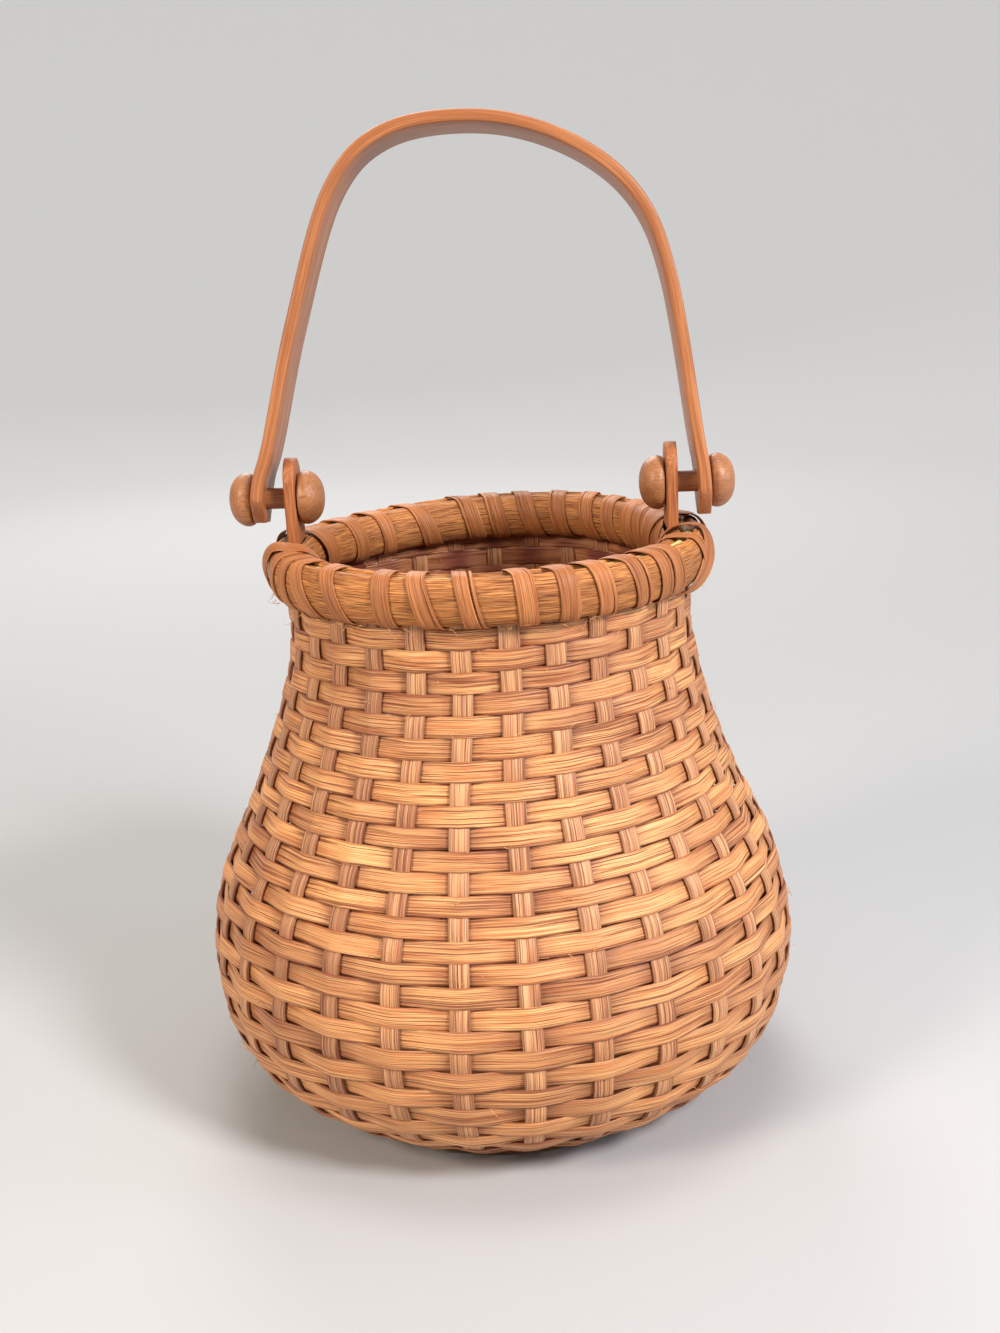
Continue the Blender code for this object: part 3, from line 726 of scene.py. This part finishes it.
# Turns of the lashing's loops in degrees from the right ear, as the photograph shows them. Each row
# is for one place round the hoops: the outer hoop's foot, near the top and the inner hoop's foot.
wrap_places = (0.04, 0.42, 0.86)
front_wraps = (
    (347.0, 327.4, 321.6, 313.6, 302.5, 292.1, 281.9, 269.1,
     258.7, 247.2, 234.9, 224.4, 211.4, 200.0, 189.0),
    (341.9, 325.0, 319.1, 310.0, 299.7, 290.9, 280.4, 265.9,
     254.3, 245.4, 228.0, 214.9, 209.0, 201.6, 191.7),
    (338.0, 323.0, 317.0, 306.0, 296.0, 287.0, 276.0, 262.0,
     251.0, 241.0, 224.0, 212.0, 205.0, 196.0, 187.0),
)
back_wraps = (
    (168.0, 151.0, 138.0, 126.0, 108.0, 96.0, 87.5, 73.0,
     63.0, 53.0, 43.0, 38.0, 32.0, 23.0, 15.0),
    (163.9, 146.2, 133.4, 119.9, 101.9, 91.7, 81.5, 68.9,
     57.9, 48.2, 38.8, 33.4, 27.3, 20.0, 12.0),
    (157.0, 141.6, 128.7, 112.0, 95.6, 86.5, 74.1, 64.0,
     51.8, 42.5, 33.6, 27.0, 20.0, 16.0, 9.5),
)

# The straps beside the ears, each point with its place round the hoops, its turn in degrees, its
# slack in mm and its twist in degrees
front_straps = (
    ((0.05, 182, 0, 0), (0.15, 186, 0, -8), (0.3, 190, 0.1, -12), (0.42, 193.5, 0.1, -12),
     (0.52, 198.5, 0.1, -12), (0.66, 205, 0.3, -10), (0.82, 209.5, 0, 0)),
    ((0.02, 331, 0, 0), (0.08, 335, 0, 8), (0.16, 340, 0.1, 16), (0.24, 345, 0.1, 18),
     (0.32, 350, 0.1, 9), (0.4, 354.5, 0, 2), (0.5, 354, 0, -4), (0.6, 349, 0.1, -8),
     (0.76, 344, 0, 0)),
)
back_straps = (
    ((0.05, 1.5, 0, 0), (0.2, 5, 0.3, 0), (0.36, 9, 0.4, 0), (0.5, 13.5, 0.2, 0),
     (0.68, 18, 0, 0), (0.84, 21, 0, 0)),
    ((0.03, 153, 0, 0), (0.15, 160, 0.2, 0), (0.3, 166.5, 0.4, 0), (0.45, 169, 0.4, 0),
     (0.62, 166.5, 0.2, 0), (0.82, 161, 0, 0), (0.96, 157, 0, 0)),
)


def add_lashings():
    """Flat reed lashed round the hoops through the bays, with a strap over the rim by each ear."""
    for name, node_name, seed, wraps, straps in (
        ("lashing_front", "front_lashing", 7000, front_wraps, front_straps),
        ("lashing_back", "back_lashing", 7500, back_wraps, back_straps),
    ):
        knots = [(number + share, turn) for number, loop in enumerate(zip(*wraps))
                 for share, turn in zip(wrap_places, loop)]
        loops, turns = np.array(knots).T
        turns = np.radians(turns)
        strips = [
            lashing_strand(loops, turns, clear=0.36 * mm, offset=-0.6 * mm, width=4.7 * mm,
                           thickness=0.5 * mm, seed=seed),
            lashing_strand(loops, turns, clear=0.36 * mm, offset=2.35 * mm, width=1.1 * mm,
                           thickness=0.45 * mm, seed=seed + 50),
        ]
        for number, strap in enumerate(straps):
            places, turns, slack, twist = smooth_curve(strap, 8).T
            strips.append(lashing_strand(
                places, np.radians(turns), clear=1.0 * mm, offset=0.0, width=6.0 * mm,
                thickness=0.55 * mm, seed=seed + 100 + 40 * number,
                slack=slack * mm, twist=np.radians(twist)))
        make_piece(name, strips, lashing_finish, "basket", [node_name])


# Wooden pieces

# A knob's side as (share of its length from the flat face, share of its radius)
knob_shape = ((0.0, 0.45), (0.0, 0.86), (0.03, 0.935), (0.11, 0.975), (0.26, 1.0), (0.45, 0.965),
              (0.62, 0.88), (0.76, 0.765), (0.88, 0.6), (0.96, 0.39), (1.0, 0.16), (1.0, 0.01))
knob_bore_radius = 3.45 * mm


def turned_rings(profile, segments):
    """(radius, height) points turned about Z, a ring to each point."""
    profile = np.array(profile)
    turn = np.arange(segments) / segments * math.tau
    return around(np.broadcast_to(profile[:, None], (len(profile), segments, 2)), turn[None])


def add_turned(name, rings, grain, finish, body, node_name, sharp=60):
    """A turned piece of plain wood."""
    tone = np.full(len(rings), plain_tone)
    make_piece(name, [(rings, grain, tone, False)], finish, body, [node_name], sharp)


def laid_along_x(rings, start, way, height):
    """Rings turned about Z, laid so that their axis runs along X at this height."""
    return stacked(start + way * rings[..., 2], rings[..., 1], rings[..., 0] + height)


def add_knobs_and_pins():
    """Turned knobs glued on both ends of each pin, with the pin's dowel between them."""
    for word, side in (("left", -1), ("right", 1)):
        for place in ("inner", "outer"):
            name = f"{word}_{place}_knob"
            low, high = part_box(name)
            long, radius = high.x - low.x, (high.z - low.z) / 2
            way = side if place == "outer" else -side
            face = low.x if way > 0 else high.x
            profile = smooth_curve([(r * radius, h * long) for h, r in knob_shape], 5)
            profile[0] = (knob_bore_radius, 0)
            rings = laid_along_x(turned_rings(profile, 72), face, way, (low.z + high.z) / 2)
            add_turned(f"turned_{name}", rings, rings + 3 * side, knob_finish, f"{word}_pin",
                       name)
        low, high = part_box(f"{word}_pin")
        radius = (high.z - low.z) / 2
        bevel = 0.3 * mm
        profile = [(radius * 0.98, low.x),
                   *[(radius, x) for x in np.linspace(low.x + bevel, high.x - bevel, 12)],
                   (radius * 0.98, high.x)]
        rings = laid_along_x(turned_rings(profile, 48), 0, 1, (low.z + high.z) / 2)
        add_turned(f"dowel_{word}", rings, rings + side, knob_finish, f"{word}_pin",
                   f"{word}_pin")


def bore_for_pins(made, places, depth):
    """Bores round holes for the pins through a piece, along X, at these places on X."""
    radius = bore_radius
    cutters = []
    for x in places:
        work = bmesh.new()
        bmesh.ops.create_cone(work, cap_ends=True, segments=48, radius1=radius, radius2=radius,
                              depth=depth)
        bmesh.ops.rotate(work, matrix=Matrix.Rotation(math.pi / 2, 3, "Y"), verts=work.verts[:])
        bmesh.ops.translate(work, vec=(x, 0, pin_height), verts=work.verts[:])
        mesh = bpy.data.meshes.new("bore")
        work.to_mesh(mesh)
        work.free()
        cutter = bpy.data.objects.new("bore", mesh)
        bpy.context.collection.objects.link(cutter)
        boolean = made.modifiers.new("bore", "BOOLEAN")
        boolean.operation, boolean.solver, boolean.object = "DIFFERENCE", "EXACT", cutter
        cutters.append(cutter)
    bpy.context.view_layer.update()
    worked_out = made.evaluated_get(bpy.context.evaluated_depsgraph_get())
    shaped = bpy.data.meshes.new_from_object(worked_out)
    made.modifiers.clear()
    made.data = shaped
    for cutter in cutters:
        bpy.data.objects.remove(cutter)


def wood_section(half_wide, half_thick, ease, steps=3):
    """A rectangle with eased edges, as (across, lift) points."""
    points = []
    for across, lift, first in ((1, 1, 0), (-1, 1, 1), (-1, -1, 2), (1, -1, 3)):
        for step in range(steps + 1):
            angle = math.pi / 2 * (first + step / steps)
            points.append((across * (half_wide - ease) + ease * math.cos(angle),
                           lift * (half_thick - ease) + ease * math.sin(angle)))
    return np.array(points)


def add_ears():
    """Flat tongues with round tops that stand up inside the rim and carry the pins."""
    for word, side in (("left", -1), ("right", 1)):
        low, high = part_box(f"{word}_ear")
        half_wide, half_thick = (high.y - low.y) / 2, (high.x - low.x) / 2
        middle = (low.x + high.x) / 2
        shoulder = high.z - half_wide
        round_top = half_wide * np.sin(np.linspace(0, 1, 20)[1:] * math.pi / 2 * 0.97)
        z = np.concatenate([np.linspace(low.z, shoulder, 24), shoulder + round_top])
        rise = np.clip(z - shoulder, 0, None)
        wide = np.sqrt(np.maximum(half_wide**2 - rise**2, 0))
        rings, grains = [], []
        bent = 0.9 * mm * np.clip((hoop_bottom - z) / (6 * mm), 0, 1) * (side < 0)
        for height, reach, inward in zip(z, wide, bent):
            section = wood_section(reach, half_thick, min(0.7 * mm, reach * 0.5, half_thick * 0.6))
            across, lift = section.T
            rings.append(stacked(middle + inward + lift, across, height))
            grains.append(stacked(height, across, lift))
        tone = np.full(len(z), plain_tone)
        made = make_piece(f"ear_{word}", [(np.array(rings), np.array(grains) + side, tone, False)],
                          ear_finish, "basket", [f"{word}_ear"], 40)
        bore_for_pins(made, [middle], 12 * mm)


def handle_line():
    """The middle of the bent strip, upright, with the slight sway that the photograph shows.

    The points are shares of the half span and of the rise, and the first of each side is its tip.
    """
    right_tip, left_tip = -10.3 * mm / handle_rise, -7.3 * mm / handle_rise
    right = [(1.003, right_tip), (1.0, 0.0), (0.990, 0.0625), (0.972, 0.131), (0.870, 0.567),
             (0.727, 0.787), (0.449, 0.929)]
    left = [(1.003, left_tip), (1.0, 0.0), (0.981, 0.0625), (0.930, 0.157), (0.795, 0.475),
            (0.598, 0.827), (0.343, 0.975)]
    points = [*right, (0.074, 1.0), *[(-out, up) for out, up in left[::-1]]]
    return smooth_curve([(out * half_span, up * handle_rise) for out, up in points], 14)


def add_handle():
    """The bent swing handle: one flat strip with eased edges and tapered tips."""
    line = handle_line()
    arc = running_length(line)
    way = unit(np.gradient(line, arc, axis=0))
    across_way = stacked(way[:, 1], -way[:, 0])
    lean = np.array(Matrix.Rotation(handle_lean, 3, "X"))
    from_tip = np.minimum(arc, arc[-1] - arc)
    tip_length, tip_cut, edge_ease = 7.5 * mm, 6.5 * mm, 0.8 * mm
    wide = strip_half_width - tip_cut * (1 - np.clip(from_tip / tip_length, 0, 1)) ** 1.3
    rings, grains = [], []
    for point, out, reach, length in zip(line, across_way, wide, arc):
        section = wood_section(reach, strip_half_thickness, edge_ease)
        flat = point + section[:, 1:] * out
        upright = stacked(flat[:, 0], section[:, 0], flat[:, 1])
        rings.append(upright @ lean.T + (0, 0, pin_height))
        grains.append(stacked(length, section[:, 0], section[:, 1]))
    tone = np.clip(plain_tone + wander(arc, 40 * mm, 0.3, 900), 0, 1)
    made = make_piece("bent_handle", [(np.array(rings), np.array(grains), tone, False)],
                      handle_finish, "handle", ["handle"], 40)
    bore_for_pins(made, [-half_span, half_span], 14 * mm)


def add_base():
    """The turned disc that holds the feet of the stakes in the groove round its edge."""
    profile = [(0.02, 4.6), (30, 4.6), (50.6, 4.6), (51.2, 4.7), (51.8, 5.4), (52.4, 5.6),
               (60, 5.6), (63.0, 5.6), (63.6, 5.4), (63.9, 5.1), (64, 4.6), (64, 3.8),
               (60.5, 3.8), (60.5, 1.8), (64, 1.8), (64, 1.0), (63.9, 0.5), (63.6, 0.2),
               (63.0, 0.0), (30, 0.0), (0.02, 0.0)]
    rings = turned_rings([(radius * mm, height * mm) for radius, height in profile], 144)
    add_turned("turned_base", rings, rings, base_finish, "basket", "base_disc", 30)


def add_loose_fibres():
    """Fine split fibres that stand off the rim's foot and top, the wall and the mouth's inside.

    Each family has a count, its lowest and highest places up the wall, how far it stands off the
    wall's middle in mm, the range of its rise, how far it spreads outward and its range of turns.
    """
    chance = np.random.default_rng(41)
    under_hoop, over_hoop = wall_length - 13.5 * mm, wall_length + 1.2 * mm
    all_round, back_left = (0, math.tau), (1.4, 3.4)
    points, sides = 9, 4
    t = np.linspace(0, 1, points)
    angles = np.arange(sides)[None, :, None] / sides * math.tau
    strips = []
    for count, low, high, lift, rises, spread, turns in (
        (70, under_hoop, under_hoop + 1 * mm, 5.2, (-0.8, 0.1), 0.5, all_round),
        (40, over_hoop, over_hoop, 3.0, (0.1, 0.7), 0.5, all_round),
        (210, 6 * mm, wall_length - 16 * mm, 1.4, (-0.5, 0.6), 0.45, all_round),
        (34, wall_length - 44 * mm, wall_length - 15 * mm, -1.6, (-0.6, 0.5), -1.1, back_left),
    ):
        for _ in range(count):
            turn = chance.uniform(*turns)
            length = chance.uniform(2.0, 7.0) * mm
            sweep = chance.uniform(-1, 1)
            off = lift * mm + length * spread * t**1.4 * chance.uniform(0.2, 1.0)
            curl = chance.uniform(-0.25, 0.25) * length * np.sin(3 * t)
            up = chance.uniform(low, high) + length * chance.uniform(*rises) * t + curl
            centre = around(on_wall(up, off), turn + sweep * length * t / (70 * mm))
            tangent = unit(np.gradient(centre, axis=0))
            first = unit(np.cross(tangent, (0.3, 0.2, 0.9)))
            second = np.cross(tangent, first)
            radius = (chance.uniform(0.07, 0.16) * mm * (1 - 0.7 * t))[:, None, None]
            out = np.cos(angles) * first[:, None] + np.sin(angles) * second[:, None]
            rings = centre[:, None] + radius * out
            tone = np.full(points, chance.uniform(0, 0.6))
            strips.append((rings, centre[:, None], tone, False))
    make_piece("loose_fibres", strips, woven_finish, "basket")


add_camera()
add_studio()
add_base()
add_stakes()
add_weave()
add_hoop("hoop_outside", hoop_section(outer_face, outer_depth, 1), "outer_hoop")
add_hoop("hoop_inside", hoop_section(inner_face, inner_depth, -1), "inner_hoop", True)
add_rim_filler()
add_lashings()
add_ears()
add_knobs_and_pins()
add_handle()
add_loose_fibres()
